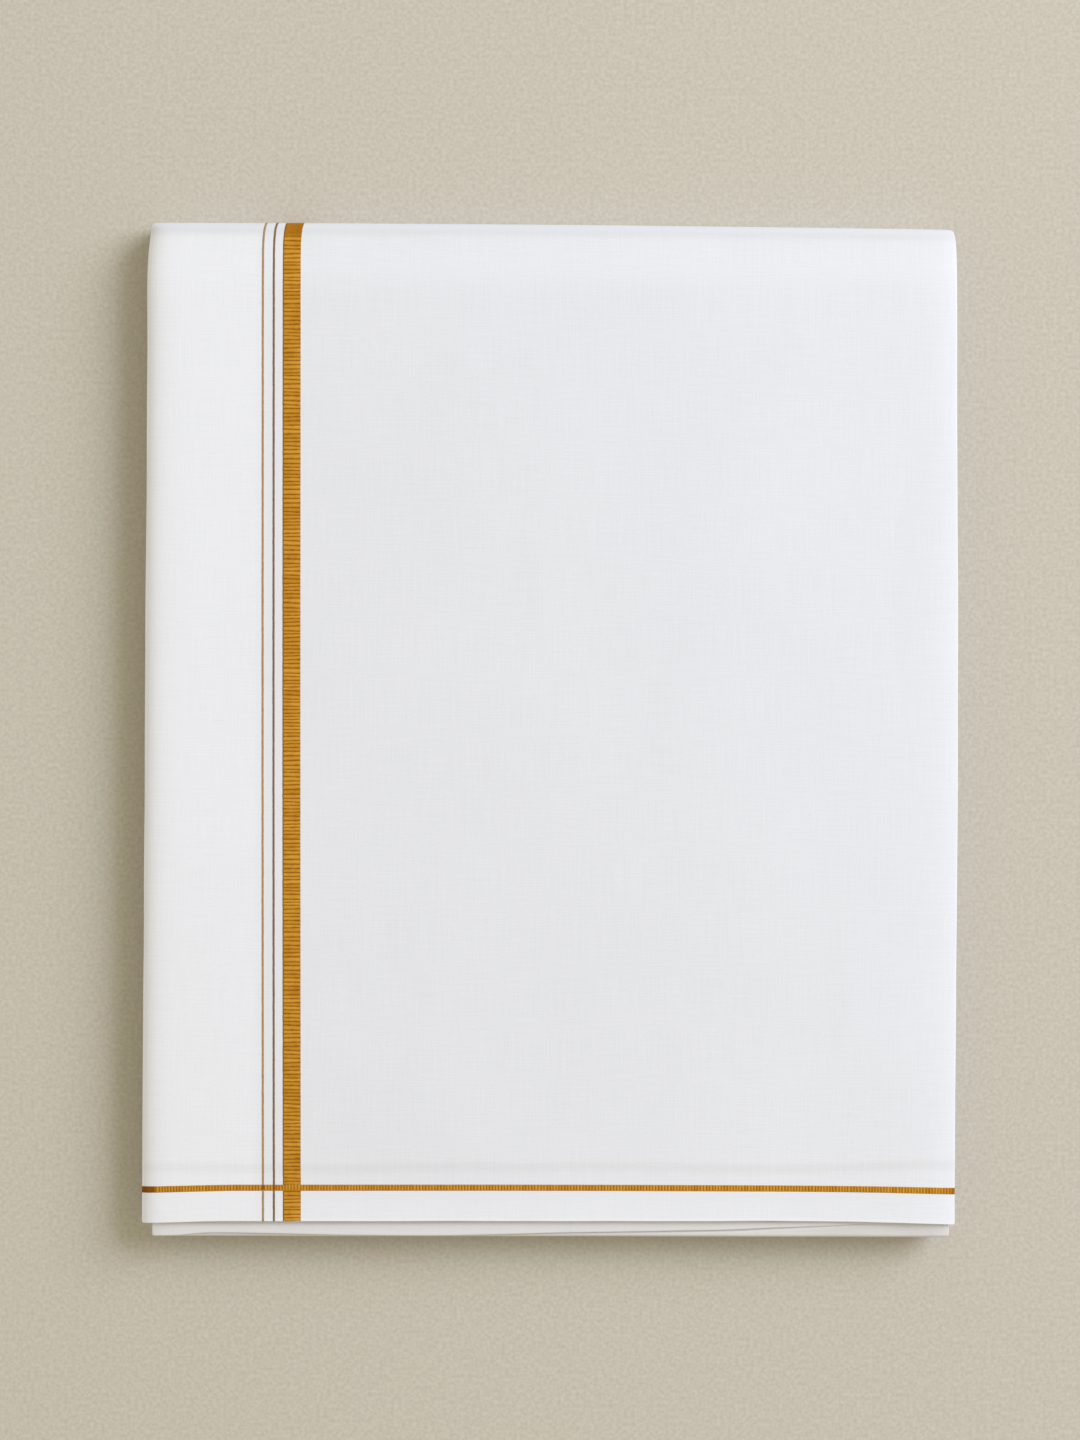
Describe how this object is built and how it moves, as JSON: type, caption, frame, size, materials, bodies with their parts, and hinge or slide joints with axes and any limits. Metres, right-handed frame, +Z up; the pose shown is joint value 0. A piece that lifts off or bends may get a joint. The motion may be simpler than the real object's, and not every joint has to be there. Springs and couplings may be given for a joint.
{
  "type": "dhoti cloth",
  "caption": "White cotton dhoti cloth with a woven gold border band and fine gold lines, folded into a flat rectangular packet that lies on its underside.",
  "frame": {"origin": "middle of the folded packet's outline, at the surface that it lies on", "axes": "seen from above with the free edge towards the viewer: +X to the right, +Y away, towards the rounded spine, +Z up"},
  "size_m": [0.2554, 0.3192, 0.014],
  "materials": {
    "cover_cotton": "matt plain-woven white cotton with woven gold border lines",
    "second_cotton": "matt plain-woven white cotton",
    "inner_cotton": "matt plain-woven white cotton, folded edges",
    "gold_thread": "satin metallic gold thread woven in cross ribs"
  },
  "bodies": {
    "root": {"cover_panel": "cover_cotton", "second_panel": "second_cotton", "inner_folds": "inner_cotton"}
  },
  "joints": []
}
